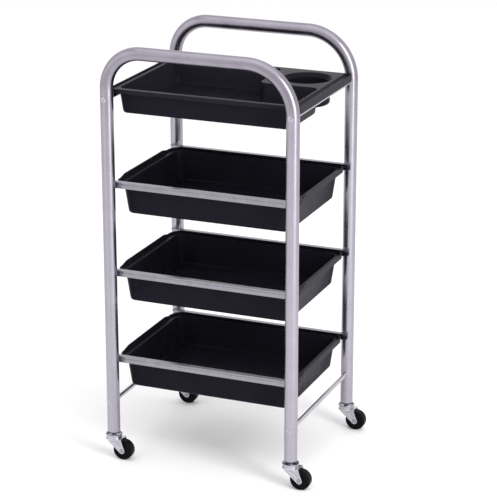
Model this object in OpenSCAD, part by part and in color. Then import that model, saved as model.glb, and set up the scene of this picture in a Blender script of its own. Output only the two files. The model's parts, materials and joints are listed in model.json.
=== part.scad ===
// Rolling salon trolley: two bent-tube frames joined by cross rods, a fixed top tray, three trays that
// slide in channel rails, and four swivel casters. Millimetres, +Z up, trays slide along X, front at -Y.
// The origin is on the floor, under the middle of the whole trolley with its casters trailing towards +X.

/* [Frame] */
// Distance between the two legs of one frame, centre to centre
frame_width = 370; // [350:5:400]
// Distance between the front and back frames, centre to centre
frame_depth = 312; // [304:2:330]
// Height of the handle tops above the floor
frame_height = 825; // [820:5:850]
// Outside diameter of the frame tube
tube_d = 25; // [24:0.5:26]
// Wall thickness of the frame tube
tube_wall = 1.2; // [1:0.1:1.4]
// Centre-line bend radius at the left end of each handle
left_bend_r = 70; // [55:5:80]
// Centre-line bend radius at the right end of each handle
right_bend_r = 90; // [60:5:90]

/* [Rails and rods] */
// Height of the lowest rail's centre above the floor
lowest_rail_z = 202; // [200:1:205]
// Height from one rail to the next
rail_pitch = 175.5; // [174:0.5:178]
// Outside height of the channel rail
rail_height = 12; // [12:0.5:13]
// Depth of the channel rail, from its web to its open side
rail_depth = 10; // [9:0.5:11]
// Sheet thickness of the channel rail
rail_sheet = 1.2; // [1:0.1:1.3]
// Diameter of the cross rods
rod_d = 9; // [8:0.5:9]
// Height of the bottom cross rods above the floor
bottom_rod_z = 118; // [115:1:125]

/* [Trays] */
// Wall thickness of the moulded trays
tray_wall = 2.4; // [2:0.1:2.6]
// Depth of a sliding tray, from its rim to its underside
tray_depth = 64; // [55:1:68]
// How much narrower a sliding tray's wall is at the bottom than at the top, on each side
tray_draft = 9; // [6:0.5:10]
// Width of the rim around a sliding tray
tray_rim = 11.5; // [11.5:0.5:13]
// Outside radius of a sliding tray's corners
tray_corner_r = 33; // [31:1:36]
// Depth of the top tray, from its rim to its underside
top_tray_depth = 49; // [45:1:52]
// Height of the top tray's rim above the floor
top_rim_z = 738; // [737:1:742]
// Diameter of the round cup recess in the top tray, below its flared mouth
cup_d = 82; // [76:1:84]

/* [Casters] */
// Diameter of the caster wheels
wheel_d = 40; // [38:0.5:40]
// Width of the caster wheels
wheel_width = 18; // [16:0.5:18.5]
// Distance of the wheel's axle behind the swivel axis
caster_trail = 21; // [20:0.5:23]
// Diameter of the caster stem where it enters the leg
stem_d = 9.5; // [9:0.5:10]
// Diameter of the dished cup above the fork
caster_cup_d = 33; // [31:0.5:34]

/* [Hidden] */
$fn = 96;
tube_r = tube_d / 2;
tube_bore_r = tube_r - tube_wall;
wheel_r = wheel_d / 2;
rod_r = rod_d / 2;
stem_r = stem_d / 2;

// The wheels trail past the right-hand legs, so the frames stand this far to the left of the origin
frame_x = (tube_r - caster_trail - wheel_r) / 2;
left_x = frame_x - frame_width / 2;
right_x = frame_x + frame_width / 2;
front_y = -frame_depth / 2;
back_y = frame_depth / 2;
leg_bottom_z = 56;
handle_z = frame_height - tube_r;

// Rails lie against the inner side of the legs and open towards the middle
rail_z = [for (step = [0:2]) lowest_rail_z + step * rail_pitch];
rail_overhang = 5;
rail_length = frame_width + 2 * rail_overhang;
rail_web_y = frame_depth / 2 - tube_r;
rail_bead_width = 2.6;
rail_bead_depth = 0.7;
rail_bead_rise = 1.8;

// Sliding trays, measured from the rail's centre
slide_gap = 0.35;
rim_top = 3.5;
flange_top = -0.5;
end_lip_top = 7.5;
rim_lip_bottom = slide_gap + rail_sheet - rail_height / 2;
rim_half_x = frame_width / 2;
rim_half_y = rail_web_y - rail_sheet - slide_gap;
tray_core_x = rim_half_x - tray_corner_r;
tray_core_y = rim_half_y - tray_corner_r;
tray_base_z = rim_top - tray_depth;
end_lip_reach = tray_core_y - 4;
end_lip_half = end_lip_reach - 18;
tray_edge_r = 7;
rim_round_r = 1;

// Top tray, measured from the floor
top_wall_half_x = frame_width / 2 - 9;
top_wall_half_y = rail_web_y - 10.5;
top_corner_r = 16;
top_draft = 7;
top_edge_r = 7;
top_base_z = top_rim_z - top_tray_depth;
top_rim_half_y = rail_web_y - 2.5;
top_step_half_x = top_wall_half_x + 1.5;
top_ledge_half_x = top_step_half_x + 3.5;
top_rim_half_x = frame_width / 2 + rod_r + 0.2 + tray_wall;
top_rim_corner_r = 6;
top_skirt_z = top_rim_z - 8;
top_ledge_z = top_rim_z - 3.5;
top_edge_z = top_rim_z - 1;
top_lip_z = top_rim_z - 14;
top_rod_z = top_lip_z - 2;
rod_rib_y = [-96, -32, 32, 96];
rod_rib_width = 2;
cup_r = cup_d / 2;
cup_flare = 6.5;
cup_flare_depth = 8;
cup_floor_r = 6;
cup_x = top_wall_half_x - tray_wall - cup_r - cup_flare - 2;
cup_y = top_wall_half_y - tray_wall - cup_r - cup_flare - 6.6;
cup_land_x = 23.5;
cup_land_y = 20;
cup_corner_r = 14;
block_x = cup_x - cup_r - cup_flare - cup_land_x;
block_y = cup_y - cup_r - cup_flare - cup_land_y;

// Rod screws
screw_r = 2.4;
screw_head_r = 4.6;
screw_head_h = 2;
screw_reach = 18;
screw_hole_r = 2.7;
rod_thread_r = 2.5;
rod_seat_gap = 0.05;
drive_slot = 1;
drive_length = 5;
drive_depth = 0.9;

// Casters, heights above the floor
axle_r = 3;
running_gap = 0.08;
fork_sheet = 2;
fork_gap = wheel_width + 2.4;
fork_outer = fork_gap + 2 * fork_sheet;
fork_toe_r = 6;
crown_r = 15.5;
crown_z = wheel_d + 1.2;
crown_front = 13;
crown_rear = 19.5;
cup_z = crown_z + fork_sheet + 2.8;
cup_sheet = 1.2;
cup_rise = 3.6;
ball_r = 1.3;
ball_ring_r = 9.5;
ball_count = 12;
ball_lift = 0.05;
shank_r = 4;
peen_r = 6.2;
peen_h = 1.8;
peen_gap = 0.15;
stem_top_z = leg_bottom_z + 34;
socket_flange = 1.8;
socket_top_z = leg_bottom_z + 40;
socket_fit_gap = 0.1;
stem_fit_gap = 0.25;
ring_z = stem_top_z - 12;
ring_h = 4;
ring_groove = 0.9;
axle_head_r = 4.8;
axle_head_h = 1.4;

// Half the turn between the tray's base and a wall that leans out by the draft angle
function base_turn(draft_angle) = (90 + draft_angle) / 2;

// A flat rectangle with round corners, centred on the origin
module round_rect(half_x, half_y, r) {
    square([2 * half_x, 2 * (half_y - r)], center = true);
    square([2 * (half_x - r), 2 * half_y], center = true);
    for (sx = [-1, 1], sy = [-1, 1])
        translate([sx * (half_x - r), sy * (half_y - r)]) circle(r);
}

// Carries a flat profile around a rectangle; the profile's x is the distance out, its y is the height
module around_rectangle(half_x, half_y) {
    corners = [
        [half_x, half_y, 0, 2 * half_y], [-half_x, half_y, 90, 2 * half_x],
        [-half_x, -half_y, 180, 2 * half_y], [half_x, -half_y, 270, 2 * half_x]
    ];
    for (corner = corners)
        translate([corner[0], corner[1], 0]) rotate([0, 0, corner[2]]) {
            rotate_extrude(angle = 90) children();
            rotate([90, 0, 0]) linear_extrude(corner[3]) children();
        }
}

// Half section of a basin: flat base, rounded bottom edge, wall leaning out to reach top_r at top_z
module basin_section(top_r, top_z, base_r, base_z, edge_r) {
    lean = atan((top_r - base_r) / (top_z - base_z));
    reach = edge_r / tan(base_turn(lean));
    polygon([
        [0, base_z], [base_r - reach, base_z],
        [base_r + reach * sin(lean), base_z + reach * cos(lean)],
        [top_r, top_z], [0, top_z]
    ]);
    intersection() {
        translate([base_r - reach, base_z + edge_r]) circle(edge_r);
        translate([0, base_z]) square([base_r + edge_r, 2 * edge_r]);
    }
}

// What is cut from a square edge to round it, with the material towards -x and -y
module round_over(r) {
    difference() {
        translate([-r, -r]) square([2 * r, 2 * r]);
        translate([-r, -r]) circle(r);
        translate([-3 * r, -3 * r]) square([2 * r, 4 * r]);
        translate([-3 * r, -3 * r]) square([4 * r, 2 * r]);
    }
}

// ---------------------------------------------------------------- frames, rails and rods

// Solid of the inverted U, as thick as r, with its legs starting at foot_z
module u_shape(r, foot_z) {
    for (end = [[0, left_x, left_bend_r], [1, right_x, right_bend_r]])
        translate([end[1], 0, 0]) {
            translate([0, 0, foot_z]) cylinder(r = r, h = handle_z - end[2] - foot_z);
            mirror([end[0], 0, 0]) translate([end[2], 0, handle_z - end[2]])
                mirror([1, 0, 0]) rotate([90, 0, 0])
                    rotate_extrude(angle = 90) translate([end[2], 0]) circle(r);
        }
    translate([left_x + left_bend_r, 0, handle_z]) rotate([0, 90, 0])
        cylinder(r = r, h = frame_width - left_bend_r - right_bend_r);
}

module u_frame(y) {
    color([0.73, 0.72, 0.77]) translate([0, y, 0]) difference() {
        u_shape(tube_r, leg_bottom_z);
        u_shape(tube_bore_r, leg_bottom_z - 1);
        for (x = [left_x, right_x], z = [bottom_rod_z, top_rod_z])
            translate([x, 0, z]) rotate([90, 0, 0])
                cylinder(r = screw_hole_r, h = tube_d + 2, center = true);
    }
}

module front_frame() u_frame(front_y);
module back_frame() u_frame(back_y);

// Channel rail with a pressed bead along its web; it stands on the -Y side and opens towards +Y
module channel_rail() {
    color([0.76, 0.76, 0.78]) translate([frame_x - rail_length / 2, 0, 0]) rotate([90, 0, 90])
        linear_extrude(rail_length) difference() {
            translate([0, -rail_height / 2]) square([rail_depth, rail_height]);
            translate([rail_sheet, rail_sheet - rail_height / 2])
                square([rail_depth, rail_height - 2 * rail_sheet]);
            translate([-rail_bead_width / 2 + rail_bead_depth, rail_bead_rise]) circle(rail_bead_width / 2);
        }
}

module front_rail(z) translate([0, -rail_web_y, z]) channel_rail();
module back_rail(z) mirror([0, 1, 0]) front_rail(z);
module front_lower_rail() front_rail(rail_z[0]);
module front_middle_rail() front_rail(rail_z[1]);
module front_upper_rail() front_rail(rail_z[2]);
module back_lower_rail() back_rail(rail_z[0]);
module back_middle_rail() back_rail(rail_z[1]);
module back_upper_rail() back_rail(rail_z[2]);

// Rod between a front and a back leg, with saddle-cut ends and a tapped hole in each end
module cross_rod(x, z) {
    color([0.85, 0.85, 0.86]) translate([x, 0, z]) rotate([90, 0, 0]) difference() {
        cylinder(r = rod_r, h = 2 * (rail_web_y + rod_r), center = true);
        for (end = [-1, 1]) {
            translate([0, 0, end * frame_depth / 2]) rotate([90, 0, 0])
                cylinder(r = tube_r + rod_seat_gap, h = 4 * rod_r, center = true);
            translate([0, 0, end * rail_web_y])
                cylinder(r = rod_thread_r, h = 2 * (screw_reach + 1), center = true);
        }
    }
}

module left_top_rod() cross_rod(left_x, top_rod_z);
module right_top_rod() cross_rod(right_x, top_rod_z);
module left_bottom_rod() cross_rod(left_x, bottom_rod_z);
module right_bottom_rod() cross_rod(right_x, bottom_rod_z);

// Pan-head screw along +Z, its head's underside at the origin and its shank reaching down
module pan_screw() {
    shank = tube_d + screw_reach;
    translate([0, 0, -shank]) cylinder(r = screw_r, h = shank);
    difference() {
        intersection() {
            cylinder(r = screw_head_r, h = screw_head_h);
            translate([0, 0, screw_head_h - 2 * screw_head_r]) sphere(r = 2 * screw_head_r);
        }
        for (turn = [0, 90]) rotate([0, 0, turn])
            translate([-drive_length / 2, -drive_slot / 2, screw_head_h - drive_depth])
                cube([drive_length, drive_slot, screw_head_h]);
    }
}

module rod_screws() {
    color([0.82, 0.82, 0.84])
        for (x = [left_x, right_x], z = [bottom_rod_z, top_rod_z], side = [0, 1])
            mirror([0, side, 0]) translate([x, front_y - tube_r, z]) rotate([90, 0, 0]) pan_screw();
}

// ---------------------------------------------------------------- trays

// Half section of a sliding tray: leaning wall, sunk flange, and an upright lip that runs in the rails
module tray_section() {
    wall_r = tray_corner_r - tray_rim;
    foot_r = wall_r - tray_draft;
    difference() {
        union() {
            basin_section(wall_r, flange_top, foot_r, tray_base_z, tray_edge_r);
            translate([wall_r - tray_wall, flange_top - tray_wall]) square([tray_rim, tray_wall]);
            translate([tray_corner_r - tray_wall, rim_lip_bottom])
                square([tray_wall, rim_top - rim_lip_bottom]);
        }
        basin_section(wall_r - tray_wall, flange_top + 0.01, foot_r - tray_wall,
            tray_base_z + tray_wall, tray_edge_r - tray_wall);
        translate([wall_r - tray_wall, flange_top]) mirror([1, 0]) round_over(rim_round_r);
    }
}

// Upright ring on the outline of a rim, as thick as the wall, from low_z to high_z
module rim_ring(half_x, half_y, r, low_z, high_z) {
    translate([0, 0, low_z]) linear_extrude(high_z - low_z) difference() {
        round_rect(half_x, half_y, r);
        round_rect(half_x - tray_wall, half_y - tray_wall, r - tray_wall);
    }
}

// Finger lips: the rim stands higher along the tray's two ends, and slopes down before the corners
module end_lips() {
    for (side = [-1, 1])
        translate([side * (rim_half_x - tray_wall / 2), 0, 0]) rotate([90, 0, 90])
            linear_extrude(tray_wall, center = true) polygon([
                [-end_lip_reach, rim_top], [-end_lip_reach, flange_top], [end_lip_reach, flange_top],
                [end_lip_reach, rim_top], [end_lip_half, end_lip_top], [-end_lip_half, end_lip_top]
            ]);
}

module sliding_tray(z) {
    color([0.09, 0.09, 0.1]) translate([frame_x, 0, z]) {
        around_rectangle(tray_core_x, tray_core_y) tray_section();
        translate([-tray_core_x, -tray_core_y, tray_base_z])
            cube([2 * tray_core_x, 2 * tray_core_y, tray_wall]);
        end_lips();
    }
}

module lower_tray() sliding_tray(rail_z[0]);
module middle_tray() sliding_tray(rail_z[1]);
module upper_tray() sliding_tray(rail_z[2]);

// Half section of the top tray's walls; inset by the wall thickness it is the hollow inside
module top_section(inset) {
    wall_r = top_corner_r - inset;
    top_z = inset > 0 ? top_rim_z + inset : top_rim_z - tray_wall / 2;
    basin_section(wall_r, top_z, wall_r - top_draft, top_base_z + inset, top_edge_r - inset);
}

// Basin with rounded corners and leaning walls between two corners [x, y] of its outside
module top_basin(low, high, inset) {
    middle = (low + high) / 2;
    core = (high - low) / 2 - [top_corner_r, top_corner_r];
    top_z = inset > 0 ? top_rim_z + inset : top_rim_z - tray_wall / 2;
    translate(middle) {
        around_rectangle(core[0], core[1]) top_section(inset);
        translate([-core[0], -core[1], top_base_z + inset])
            cube([2 * core[0], 2 * core[1], top_z - top_base_z - inset]);
    }
}

// L-shaped compartment: a wide basin in front, a narrow one behind it, and a round turn where they meet
module l_basin(inset) {
    turn_r = cup_corner_r - tray_wall + inset;
    reach = turn_r + top_corner_r - inset;
    top_basin([-top_wall_half_x, -top_wall_half_y], [top_wall_half_x, block_y + tray_wall], inset);
    top_basin([-top_wall_half_x, -top_wall_half_y / 2], [block_x + tray_wall, top_wall_half_y], inset);
    translate([block_x + cup_corner_r, block_y + cup_corner_r, 0]) rotate([0, 0, 180])
        rotate_extrude(angle = 90) translate([reach, 0]) mirror([1, 0]) top_section(inset);
}

// Side view of the rim: flat on top, sloping down at each end to a sunk ledge that hooks over the top rod
module rim_profile(inset, skirt_z, lip_z) {
    slope = atan((top_rim_z - top_ledge_z) / (top_ledge_half_x - top_step_half_x));
    shift = inset * tan(slope / 2);
    for (side = [0, 1]) mirror([side, 0]) polygon([
        [0, skirt_z], [0, top_rim_z - inset], [top_step_half_x - shift, top_rim_z - inset],
        [top_ledge_half_x - shift, top_ledge_z - inset], [top_rim_half_x - inset, top_ledge_z - inset],
        [top_rim_half_x - inset, lip_z], [top_ledge_half_x, lip_z], [top_step_half_x, skirt_z]
    ]);
}

// The rim's block, or the hollow under it when inset by the wall
module rim_block(inset, skirt_z, lip_z) {
    intersection() {
        rotate([90, 0, 0]) linear_extrude(2 * (top_rim_half_y - inset), center = true)
            rim_profile(inset, skirt_z, lip_z);
        translate([0, 0, lip_z - 1]) linear_extrude(top_rim_z - lip_z + 2)
            round_rect(top_rim_half_x - inset, top_rim_half_y - inset, top_rim_corner_r - inset);
    }
}

// Rim over the whole tray, open below, with a raised outer edge, notches for the rods and ribs on them
module top_rim() {
    notch_z = top_ledge_z - tray_wall;
    rod_top_z = top_rod_z + rod_r + 0.1;
    difference() {
        rim_block(0, top_skirt_z, top_lip_z);
        rim_block(tray_wall, top_lip_z - 1, top_lip_z - 1);
        for (side = [-1, 1])
            translate([side * frame_width / 2 - rod_r - 0.2, -frame_depth / 2, top_lip_z - 1])
                cube([2 * rod_r + 0.4, frame_depth, notch_z - top_lip_z + 1]);
    }
    rim_ring(top_rim_half_x, top_rim_half_y, top_rim_corner_r, top_ledge_z - tray_wall / 2, top_edge_z);
    for (side = [-1, 1], y = rod_rib_y)
        translate([side * frame_width / 2 - rod_r, y - rod_rib_width / 2, rod_top_z])
            cube([2 * rod_r, rod_rib_width, notch_z - rod_top_z + tray_wall / 2]);
}

// Cup wall and floor below the rim, with a rounded lower edge and a flared mouth
module cup_body() {
    outer_r = cup_r + tray_wall;
    flare_z = top_rim_z - cup_flare_depth - tray_wall;
    straight_z = top_base_z + cup_floor_r;
    translate([cup_x, cup_y, 0]) {
        translate([0, 0, straight_z]) cylinder(r = outer_r, h = flare_z - straight_z);
        translate([0, 0, top_base_z]) cylinder(r = outer_r - cup_floor_r, h = cup_floor_r);
        translate([0, 0, straight_z])
            rotate_extrude() translate([outer_r - cup_floor_r, 0]) circle(cup_floor_r);
        translate([0, 0, flare_z])
            cylinder(r1 = outer_r, r2 = outer_r + cup_flare, h = cup_flare_depth + tray_wall / 2);
    }
}

// Straight well of the cup recess and its flared mouth
module cup_hollow() {
    translate([cup_x, cup_y, 0]) {
        translate([0, 0, top_base_z + tray_wall]) cylinder(r = cup_r, h = top_tray_depth);
        translate([0, 0, top_rim_z - cup_flare_depth])
            cylinder(r1 = cup_r, r2 = cup_r + cup_flare, h = cup_flare_depth);
        translate([0, 0, top_rim_z]) cylinder(r = cup_r + cup_flare, h = 1);
    }
}

module top_tray() {
    color([0.09, 0.09, 0.1]) translate([frame_x, 0, 0]) difference() {
        union() {
            top_rim();
            l_basin(0);
            cup_body();
        }
        l_basin(tray_wall);
        cup_hollow();
    }
}

// ---------------------------------------------------------------- casters

module at_leg(x, y) translate([x, y, 0]) children();
module at_axle() translate([caster_trail, 0, wheel_r]) rotate([90, 0, 0]) children();

// Moulded insert in the leg's lower end
module socket() {
    color([0.12, 0.12, 0.13]) difference() {
        union() {
            translate([0, 0, leg_bottom_z - socket_flange]) cylinder(r = tube_r, h = socket_flange);
            translate([0, 0, leg_bottom_z])
                cylinder(r = tube_bore_r - socket_fit_gap, h = socket_top_z - leg_bottom_z);
        }
        translate([0, 0, leg_bottom_z - socket_flange - 1])
            cylinder(r = stem_r + stem_fit_gap, h = socket_top_z);
    }
}

// Stem that stands still with the leg; the fork turns on its shank and a peened head holds it
module stem() {
    shank_top = cup_z;
    peen_top = crown_z - peen_gap;
    color([0.7, 0.7, 0.72]) difference() {
        union() {
            translate([0, 0, peen_top - peen_h]) cylinder(r = peen_r, h = peen_h);
            translate([0, 0, peen_top - peen_h]) cylinder(r = shank_r, h = shank_top + peen_h - peen_top);
            translate([0, 0, shank_top]) cylinder(r = stem_r, h = stem_top_z - shank_top);
            translate([0, 0, stem_top_z]) cylinder(r1 = stem_r, r2 = stem_r - 1.5, h = 1.5);
        }
        translate([0, 0, ring_z]) difference() {
            cylinder(r = stem_r + 1, h = ring_h);
            translate([0, 0, -1]) cylinder(r = stem_r - ring_groove, h = ring_h + 2);
        }
    }
}

// Split spring ring in the stem's groove
module grip_ring() {
    color([0.6, 0.6, 0.62]) translate([0, 0, ring_z + running_gap]) linear_extrude(ring_h - 2 * running_gap)
        difference() {
            circle(stem_r + stem_fit_gap - running_gap);
            circle(stem_r - ring_groove + running_gap);
            translate([0, -1]) square([2 * stem_r, 2]);
        }
}

// Dished cup with a rolled rim; its skirt hides the ball race and stops just above the fork
module caster_cup() {
    bead_r = 1;
    rim_r = caster_cup_d / 2 - bead_r;
    skirt_r = crown_r - 0.5;
    skirt_z = crown_z + fork_sheet + 0.3 - cup_z;
    bore_r = stem_r + running_gap;
    color([0.85, 0.85, 0.86]) translate([0, 0, cup_z]) rotate_extrude() {
        translate([bore_r, 0]) square([skirt_r - bore_r - cup_sheet / 2, cup_sheet]);
        polygon([
            [skirt_r - cup_sheet, skirt_z], [skirt_r, skirt_z], [skirt_r, 0],
            [rim_r + 0.6, cup_rise], [rim_r - 0.6, cup_rise], [skirt_r - cup_sheet, cup_sheet]
        ]);
        translate([rim_r, cup_rise]) circle(bead_r);
    }
}

module bearing_balls() {
    color([0.8, 0.8, 0.82]) for (index = [0:ball_count - 1])
        rotate([0, 0, index * 360 / ball_count])
            translate([ball_ring_r, 0, crown_z + fork_sheet + ball_r + ball_lift]) sphere(ball_r);
}

// Outline of one fork leg in the XZ plane: wide under the crown, round at the axle
module fork_leg_outline() {
    top_z = crown_z + fork_sheet / 2;
    front = [-crown_front, top_z];
    rear = [crown_rear, top_z];
    axle = [caster_trail, wheel_r];
    front_run = axle - front;
    rear_run = axle - rear;
    front_turn = atan2(front_run[1], front_run[0]) - asin(fork_toe_r / norm(front_run));
    rear_turn = atan2(rear_run[1], rear_run[0]) + asin(fork_toe_r / norm(rear_run));
    front_touch = axle + fork_toe_r * [sin(front_turn), -cos(front_turn)];
    rear_touch = axle + fork_toe_r * [-sin(rear_turn), cos(rear_turn)];
    polygon([front, front_touch, axle, rear_touch, rear]);
    translate(axle) circle(fork_toe_r);
}

// Pressed rib along a fork leg
module fork_rib_outline() {
    rib_r = 2.2;
    top = [3, crown_z - 5];
    low = [caster_trail - 5, wheel_r + 9];
    run = low - top;
    side = rib_r * [-run[1], run[0]] / norm(run);
    polygon([top + side, low + side, low - side, top - side]);
    translate(top) circle(rib_r);
    translate(low) circle(rib_r);
}

module fork() {
    rib_height = 0.7;
    color([0.8, 0.8, 0.82]) difference() {
        union() {
            translate([0, 0, crown_z]) cylinder(r = crown_r, h = fork_sheet);
            translate([-crown_front, -fork_outer / 2, crown_z])
                cube([crown_front + crown_rear, fork_outer, fork_sheet]);
            for (side = [0, 1]) mirror([0, side, 0]) {
                translate([0, -fork_gap / 2, 0]) rotate([90, 0, 0])
                    linear_extrude(fork_sheet) fork_leg_outline();
                translate([0, -fork_outer / 2, 0]) rotate([90, 0, 0])
                    linear_extrude(rib_height) fork_rib_outline();
            }
        }
        translate([0, 0, crown_z - 1]) cylinder(r = shank_r + running_gap, h = fork_sheet + 2);
        at_axle() cylinder(r = axle_r + running_gap / 2, h = 2 * fork_outer, center = true);
    }
}

// Riveted axle with a head on each side of the fork
module axle() {
    color([0.75, 0.75, 0.77]) at_axle() {
        cylinder(r = axle_r, h = fork_outer + 2 * axle_head_h, center = true);
        for (side = [0, 1]) mirror([0, 0, side]) translate([0, 0, fork_outer / 2]) intersection() {
            cylinder(r = axle_head_r, h = axle_head_h);
            translate([0, 0, axle_head_h - 2 * axle_head_r]) sphere(r = 2 * axle_head_r);
        }
    }
}

// Wheel with rounded tread shoulders, a sunk ring on each side and a hub boss
module wheel() {
    half = wheel_width / 2;
    shoulder_r = 3.5;
    boss_r = 6;
    boss_half = fork_gap / 2 - 0.25;
    sunk_depth = 1.4;
    sunk_inner_r = 7.2;
    sunk_outer_r = wheel_r - 4;
    color([0.1, 0.1, 0.11]) at_axle() rotate_extrude() difference() {
        union() {
            translate([0, -half]) square([wheel_r - shoulder_r, wheel_width]);
            translate([0, -half + shoulder_r]) square([wheel_r, wheel_width - 2 * shoulder_r]);
            for (side = [-1, 1])
                translate([wheel_r - shoulder_r, side * (half - shoulder_r)]) circle(shoulder_r);
            translate([0, -boss_half]) square([boss_r, 2 * boss_half]);
        }
        translate([-wheel_r, -wheel_width]) square([wheel_r + axle_r + running_gap, 2 * wheel_width]);
        for (side = [0, 1]) mirror([0, side]) translate([sunk_inner_r, half - sunk_depth])
            square([sunk_outer_r - sunk_inner_r, sunk_depth + 1]);
    }
}

module front_left_socket() at_leg(left_x, front_y) socket();
module front_right_socket() at_leg(right_x, front_y) socket();
module back_left_socket() at_leg(left_x, back_y) socket();
module back_right_socket() at_leg(right_x, back_y) socket();
module front_left_stem() at_leg(left_x, front_y) stem();
module front_right_stem() at_leg(right_x, front_y) stem();
module back_left_stem() at_leg(left_x, back_y) stem();
module back_right_stem() at_leg(right_x, back_y) stem();
module front_left_grip_ring() at_leg(left_x, front_y) grip_ring();
module front_right_grip_ring() at_leg(right_x, front_y) grip_ring();
module back_left_grip_ring() at_leg(left_x, back_y) grip_ring();
module back_right_grip_ring() at_leg(right_x, back_y) grip_ring();
module front_left_cup() at_leg(left_x, front_y) caster_cup();
module front_right_cup() at_leg(right_x, front_y) caster_cup();
module back_left_cup() at_leg(left_x, back_y) caster_cup();
module back_right_cup() at_leg(right_x, back_y) caster_cup();
module front_left_balls() at_leg(left_x, front_y) bearing_balls();
module front_right_balls() at_leg(right_x, front_y) bearing_balls();
module back_left_balls() at_leg(left_x, back_y) bearing_balls();
module back_right_balls() at_leg(right_x, back_y) bearing_balls();
module front_left_fork() at_leg(left_x, front_y) fork();
module front_right_fork() at_leg(right_x, front_y) fork();
module back_left_fork() at_leg(left_x, back_y) fork();
module back_right_fork() at_leg(right_x, back_y) fork();
module front_left_axle() at_leg(left_x, front_y) axle();
module front_right_axle() at_leg(right_x, front_y) axle();
module back_left_axle() at_leg(left_x, back_y) axle();
module back_right_axle() at_leg(right_x, back_y) axle();
module front_left_wheel() at_leg(left_x, front_y) wheel();
module front_right_wheel() at_leg(right_x, front_y) wheel();
module back_left_wheel() at_leg(left_x, back_y) wheel();
module back_right_wheel() at_leg(right_x, back_y) wheel();

front_frame();
back_frame();
front_lower_rail();
front_middle_rail();
front_upper_rail();
back_lower_rail();
back_middle_rail();
back_upper_rail();
left_top_rod();
right_top_rod();
left_bottom_rod();
right_bottom_rod();
rod_screws();
top_tray();
upper_tray();
middle_tray();
lower_tray();
front_left_socket();
front_right_socket();
back_left_socket();
back_right_socket();
front_left_stem();
front_right_stem();
back_left_stem();
back_right_stem();
front_left_grip_ring();
front_right_grip_ring();
back_left_grip_ring();
back_right_grip_ring();
front_left_cup();
front_right_cup();
back_left_cup();
back_right_cup();
front_left_balls();
front_right_balls();
back_left_balls();
back_right_balls();
front_left_fork();
front_right_fork();
back_left_fork();
back_right_fork();
front_left_axle();
front_right_axle();
back_left_axle();
back_right_axle();
front_left_wheel();
front_right_wheel();
back_left_wheel();
back_right_wheel();
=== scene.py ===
"""Looks for the rolling salon trolley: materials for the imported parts, a pale floor, lights and a camera."""

import json
from math import cos, radians, sin

import bpy
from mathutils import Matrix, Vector


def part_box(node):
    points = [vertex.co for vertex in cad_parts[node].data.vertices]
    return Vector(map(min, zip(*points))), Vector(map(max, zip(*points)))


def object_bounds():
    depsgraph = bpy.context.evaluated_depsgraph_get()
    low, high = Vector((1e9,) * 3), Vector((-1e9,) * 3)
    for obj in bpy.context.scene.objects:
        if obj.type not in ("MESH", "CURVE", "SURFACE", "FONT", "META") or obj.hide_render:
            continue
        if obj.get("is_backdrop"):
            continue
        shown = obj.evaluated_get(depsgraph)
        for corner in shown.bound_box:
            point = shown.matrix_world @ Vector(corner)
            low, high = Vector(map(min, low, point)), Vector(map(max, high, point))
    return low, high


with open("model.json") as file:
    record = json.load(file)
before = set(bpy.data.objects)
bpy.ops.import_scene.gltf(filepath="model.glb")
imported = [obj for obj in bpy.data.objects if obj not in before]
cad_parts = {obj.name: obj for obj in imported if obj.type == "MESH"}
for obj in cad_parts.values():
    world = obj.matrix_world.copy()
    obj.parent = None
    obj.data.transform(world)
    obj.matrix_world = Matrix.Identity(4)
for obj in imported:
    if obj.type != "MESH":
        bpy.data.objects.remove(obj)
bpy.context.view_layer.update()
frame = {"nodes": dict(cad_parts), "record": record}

MM = 0.001
NOISE_LOW, NOISE_HIGH = 0.3, 0.7  # nearly all of a noise lies between these
FLAT_POINTINESS, EDGE_POINTINESS = 0.52, 0.62
CAMERA_TARGET = Vector((18.0, 41.1, 392.1)) * MM  # from the point on the floor midway between the legs


# ---------------------------------------------------------------- shader helpers


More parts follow.
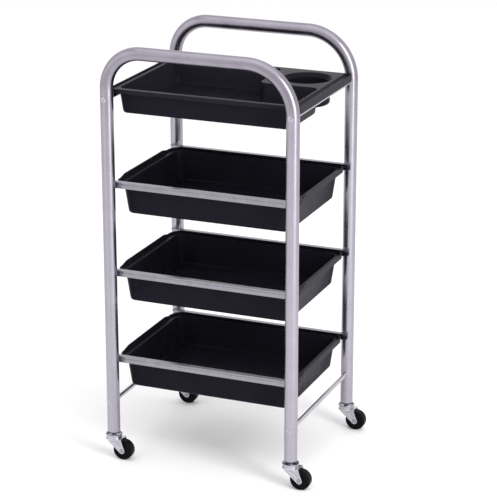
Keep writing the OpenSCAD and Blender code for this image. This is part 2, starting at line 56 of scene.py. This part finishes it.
class Shader:
    """A material's node tree, with one short call for each kind of node."""

    def __init__(self, name):
        self.material = bpy.data.materials.new(name)
        self.material.use_nodes = True
        self.tree = self.material.node_tree
        self.surface = self.tree.nodes["Principled BSDF"]
        self.coordinates = self.tree.nodes.new("ShaderNodeTexCoord").outputs["Object"]

    def node(self, kind, inputs=(), **settings):
        """A node of that kind; inputs maps socket names or numbers to values or to other nodes' outputs."""
        made = self.tree.nodes.new(kind)
        for key, value in settings.items():
            setattr(made, key, value)
        for key, value in dict(inputs).items():
            self.feed(made.inputs[key], value)
        return made

    def feed(self, socket, value):
        """Links value to the socket if it is another node's output, or else sets it there."""
        if isinstance(value, bpy.types.NodeSocket):
            self.tree.links.new(value, socket)
        else:
            socket.default_value = value

    def noise(self, size, detail=4.0, roughness=0.55, stretch=(1, 1, 1)):
        """Cloudy noise whose blotches are about size metres, drawn out along an axis by stretch."""
        scale = [1 / factor for factor in stretch]
        placed = self.node("ShaderNodeMapping", {"Vector": self.coordinates, "Scale": scale})
        made = self.node(
            "ShaderNodeTexNoise",
            {"Vector": placed.outputs[0], "Scale": 1 / size, "Detail": detail, "Roughness": roughness},
        )
        return made.outputs["Fac"]

    def remap(self, value, low, high, to_low=0.0, to_high=1.0):
        """The value stretched so that low becomes to_low and high becomes to_high, and held within them."""
        made = self.node(
            "ShaderNodeMapRange",
            {"Value": value, "From Min": low, "From Max": high, "To Min": to_low, "To Max": to_high},
        )
        return made.outputs["Result"]

    def vary(self, noise, to_low, to_high):
        """A value that wanders between to_low and to_high as the noise does."""
        return self.remap(noise, NOISE_LOW, NOISE_HIGH, to_low, to_high)

    def edges(self, strength):
        """Strength on outward edges, falling to 0 on flat faces and in corners."""
        pointiness = self.node("ShaderNodeNewGeometry").outputs["Pointiness"]
        return self.remap(pointiness, FLAT_POINTINESS, EDGE_POINTINESS, 0.0, strength)

    def math(self, operation, first, second):
        return self.node("ShaderNodeMath", {0: first, 1: second}, operation=operation).outputs[0]

    def blend(self, amount, first, second):
        made = self.node("ShaderNodeMix", {0: amount, 6: first, 7: second}, data_type="RGBA")
        return made.outputs[2]

    def bump(self, height, depth, strength, normal=None):
        """A surface normal raised by up to depth metres where height is 1."""
        inputs = {"Height": height, "Distance": depth, "Strength": strength}
        if normal is not None:
            inputs["Normal"] = normal
        return self.node("ShaderNodeBump", inputs).outputs["Normal"]

    def soft_edges(self, radius):
        """A surface normal that rounds sharp edges to that radius."""
        return self.node("ShaderNodeBevel", {"Radius": radius}, samples=6).outputs["Normal"]

    def finish(self, **inputs):
        """Sets the surface's inputs, named with _ for a space, and gives the finished material."""
        for key, value in inputs.items():
            self.feed(self.surface.inputs[key.replace("_", " ")], value)
        return self.material


def colour(red, green, blue):
    """An opaque linear colour."""
    return (red, green, blue, 1.0)


def shade(tint, factor):
    """The tint made lighter or darker by that factor."""
    return colour(*[factor * part for part in tint])


# ---------------------------------------------------------------- materials


def satin_tube():
    """Satin silver plating on the bent tubes, with a fine grain drawn along the legs."""
    s = Shader("satin_tube")
    grain = s.noise(0.5 * MM, detail=3, stretch=(1, 1, 22))
    mottle = s.noise(35 * MM, detail=5)
    tint = s.blend(s.remap(mottle, 0.35, 0.65), colour(0.285, 0.265, 0.315), colour(0.325, 0.305, 0.355))
    paler_edges = s.blend(s.edges(0.5), tint, colour(0.48, 0.46, 0.52))
    roughness = s.math("ADD", s.vary(grain, -0.02, 0.03), s.vary(mottle, 0.25, 0.31))
    return s.finish(
        Base_Color=paler_edges,
        Metallic=1.0,
        Roughness=roughness,
        Normal=s.bump(grain, 0.01 * MM, 0.35),
    )


def rail_steel():
    """Zinc plated sheet, drawn along the rail's length."""
    s = Shader("rail_steel")
    drawn = s.noise(0.4 * MM, detail=3, stretch=(40, 1, 1))
    cloud = s.noise(18 * MM, detail=5)
    tint = s.blend(s.remap(cloud, 0.35, 0.65), colour(0.17, 0.165, 0.19), colour(0.24, 0.235, 0.265))
    # paler edges: partly wear and partly a painted highlight along the rail's edges
    paler_edges = s.blend(s.edges(0.5), tint, colour(0.36, 0.355, 0.39))
    return s.finish(
        Base_Color=paler_edges,
        Metallic=1.0,
        Roughness=s.vary(drawn, 0.20, 0.30),
        Normal=s.bump(drawn, 0.01 * MM, 0.4, s.soft_edges(0.5 * MM)),
    )


def bright_plating(name, tint, roughness, grain_size):
    """Bright plating with faint haze, handling marks and brighter edges."""
    s = Shader(name)
    haze = s.noise(12 * MM, detail=6)
    grain = s.noise(grain_size, detail=2)
    cloudy = s.blend(s.remap(haze, 0.4, 0.65), shade(tint, 0.86), colour(*tint))
    return s.finish(
        Base_Color=s.blend(s.edges(0.5), cloudy, colour(0.8, 0.8, 0.83)),
        Metallic=1.0,
        Roughness=s.remap(haze, 0.35, 0.7, roughness, roughness + 0.12),
        Normal=s.bump(grain, 0.01 * MM, 0.3, s.soft_edges(0.25 * MM)),
    )


def tray_plastic():
    """Black moulded plastic: fine spark-eroded grain, faint flow marks, a little dust and paler edges (wear
    and painted highlight).
    """
    s = Shader("tray_plastic")
    grain = s.noise(0.7 * MM, detail=3, roughness=0.6)
    flow = s.noise(60 * MM, detail=6)
    dust = s.math("MULTIPLY", s.remap(s.noise(9 * MM, detail=8), 0.5, 0.75), 0.35)
    base = s.blend(s.vary(flow, 0.0, 1.0), colour(0.0082, 0.0080, 0.0122), colour(0.0108, 0.0104, 0.0158))
    dusty = s.blend(dust, base, colour(0.0125, 0.0120, 0.0180))
    # paler edges: partly wear and partly a painted highlight along the rims and edges
    paler_edges = s.blend(s.edges(0.5), dusty, colour(0.022, 0.021, 0.029))
    roughness = s.math("ADD", s.vary(flow, 0.20, 0.27), s.vary(grain, 0.0, 0.05))
    return s.finish(
        Base_Color=paler_edges,
        Roughness=roughness,
        Specular_IOR_Level=0.03,
        Specular_Tint=colour(0.92, 0.86, 1.0),
        Normal=s.bump(grain, 0.02 * MM, 0.4, s.soft_edges(0.9 * MM)),
    )


def matte_plastic(name, tint, roughness):
    """Plain dark moulded plastic with a fine grain and scuffed edges."""
    s = Shader(name)
    grain = s.noise(0.5 * MM, detail=4)
    scuffs = s.remap(s.noise(6 * MM, detail=8), 0.55, 0.75, 0.0, 0.5)
    scuffed = s.blend(scuffs, colour(*tint), shade(tint, 2.2))
    return s.finish(
        Base_Color=s.blend(s.edges(0.7), scuffed, shade(tint, 4)),
        Roughness=s.vary(grain, roughness, roughness + 0.12),
        Specular_IOR_Level=0.06,
        Normal=s.bump(grain, 0.04 * MM, 0.5, s.soft_edges(0.4 * MM)),
    )


def floor_material():
    """Pale seamless studio paper."""
    s = Shader("studio_floor")
    fibre = s.noise(1.5 * MM, detail=5)
    cloud = s.noise(0.8, detail=3)
    return s.finish(
        Base_Color=s.blend(cloud, colour(0.94, 0.94, 0.94), colour(0.96, 0.96, 0.96)),
        Roughness=s.vary(fibre, 0.75, 0.85),
        Normal=s.bump(fibre, 0.05 * MM, 0.2),
    )


def slot_materials():
    """One material for each material slot in the record."""
    return {
        "frame_tube": satin_tube(),
        "rail_steel": rail_steel(),
        "rod_chrome": bright_plating("rod_chrome", (0.22, 0.22, 0.25), 0.12, 0.8 * MM),
        "screw_steel": bright_plating("screw_steel", (0.44, 0.43, 0.48), 0.2, 0.4 * MM),
        "tray_plastic": tray_plastic(),
        "socket_plastic": matte_plastic("socket_plastic", (0.012, 0.012, 0.014), 0.4),
        "caster_steel": bright_plating("caster_steel", (0.28, 0.275, 0.31), 0.25, 0.4 * MM),
        "caster_plating": bright_plating("caster_plating", (0.50, 0.49, 0.54), 0.20, 0.5 * MM),
        "wheel_plastic": matte_plastic("wheel_plastic", (0.0030, 0.0028, 0.0038), 0.32),
    }


def dress_parts():
    """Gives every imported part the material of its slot."""
    materials = slot_materials()
    for part in frame["record"]["subparts"]:
        shown = frame["nodes"][part["node"]]
        material = materials[part["material_slot"]]
        if not shown.material_slots:
            shown.data.materials.append(material)
        for held in shown.material_slots:
            held.material = material


# ---------------------------------------------------------------- floor, lights and camera


def add_floor(width=12.0):
    """Studio paper on the floor, wide enough to fill the camera's view."""
    bpy.ops.mesh.primitive_plane_add(size=width)
    floor = bpy.context.object
    floor.name = "studio_floor"
    floor.data.materials.append(floor_material())
    floor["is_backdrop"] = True


def direction(azimuth, elevation):
    """Unit vector from the object towards a viewer; azimuth 0 is in front, at -Y, and 90 is at +X."""
    a, e = radians(azimuth), radians(elevation)
    return Vector((sin(a) * cos(e), -cos(a) * cos(e), sin(e)))


def aim(thing, target):
    """Turns a light or a camera to look at target."""
    thing.rotation_euler = (target - thing.location).to_track_quat("-Z", "Y").to_euler()


def add_softbox(name, target, azimuth, elevation, distance, width, height, watts):
    """A rectangular light that shines on target from that direction and distance."""
    light = bpy.data.lights.new(name, "AREA")
    light.shape = "RECTANGLE"
    light.size = width
    light.size_y = height
    light.energy = watts
    thing = bpy.data.objects.new(name, light)
    bpy.context.collection.objects.link(thing)
    thing.location = target + direction(azimuth, elevation) * distance
    aim(thing, target)


def object_middle():
    """The middle of the whole object's box."""
    low, high = (Vector(corner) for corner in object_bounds())
    return (low + high) / 2


def light_studio(middle):
    """A bright pale room, one tall softbox at the right and broad fill from the left and above."""
    world = bpy.data.worlds.new("studio")
    world.use_nodes = True
    background = world.node_tree.nodes["Background"]
    background.inputs["Color"].default_value = colour(1.0, 0.99, 1.0)
    background.inputs["Strength"].default_value = 1.02
    bpy.context.scene.world = world
    add_softbox("key", middle, azimuth=62, elevation=22, distance=2.6, width=0.8, height=2.6, watts=46)
    add_softbox("fill", middle, azimuth=-50, elevation=20, distance=3.0, width=2.4, height=2.4, watts=9)
    add_softbox("top", middle, azimuth=10, elevation=80, distance=2.6, width=3.0, height=3.0, watts=18)


def legs_middle():
    """The point on the floor midway between the four legs."""
    low, high = (Vector(corner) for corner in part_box("front_frame"))
    return Vector(((low.x + high.x) / 2, 0.0, 0.0))


def add_camera(target, azimuth=22.3, elevation=18.3, distance=3.99, lens=148.1):
    """A long lens, looking a little down on the front and the right side."""
    camera = bpy.data.objects.new("camera", bpy.data.cameras.new("camera"))
    bpy.context.collection.objects.link(camera)
    camera.data.sensor_fit = "HORIZONTAL"
    camera.data.sensor_width = 36
    camera.data.lens = lens
    camera.location = target + direction(azimuth, elevation) * distance
    aim(camera, target)
    bpy.context.scene.camera = camera


dress_parts()
add_floor()
light_studio(object_middle())
add_camera(legs_middle() + CAMERA_TARGET)
bpy.context.scene.view_settings.view_transform = "Standard"
